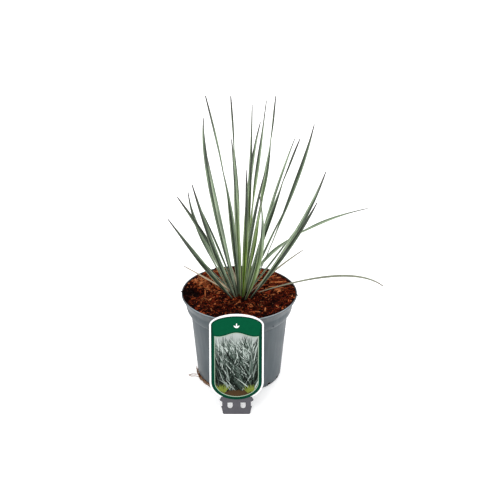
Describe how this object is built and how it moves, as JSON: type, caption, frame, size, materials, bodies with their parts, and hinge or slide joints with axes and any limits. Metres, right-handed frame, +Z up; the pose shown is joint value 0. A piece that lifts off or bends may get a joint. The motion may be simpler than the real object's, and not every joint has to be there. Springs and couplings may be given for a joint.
{
  "type": "beaked yucca in a nursery pot",
  "caption": "Young beaked yucca with stiff, narrow grey-green leaves, in a round tapered nursery pot of soil, with a flat plant label leaning on its lip.",
  "frame": {"origin": "centre of the pot's flat underside, on the surface that it stands on", "axes": "+Z up along the pot's axis, -Y towards the front, where the label leans, +X to the right seen from the front"},
  "size_m": [0.2852, 0.2369, 0.3921],
  "materials": {
    "pot_plastic": "satin grey injection-moulded plastic",
    "soil_mix": "rough red-brown coir and bark potting mix",
    "leaf_green": "stiff grey-green leaves with a waxy bloom and pale margins",
    "label_plastic": "printed thin plastic tag with a green frame and a white edge"
  },
  "bodies": {
    "root": {"pot": "pot_plastic", "soil": "soil_mix", "leafy_stem": "leaf_green", "label": "label_plastic"}
  },
  "joints": []
}
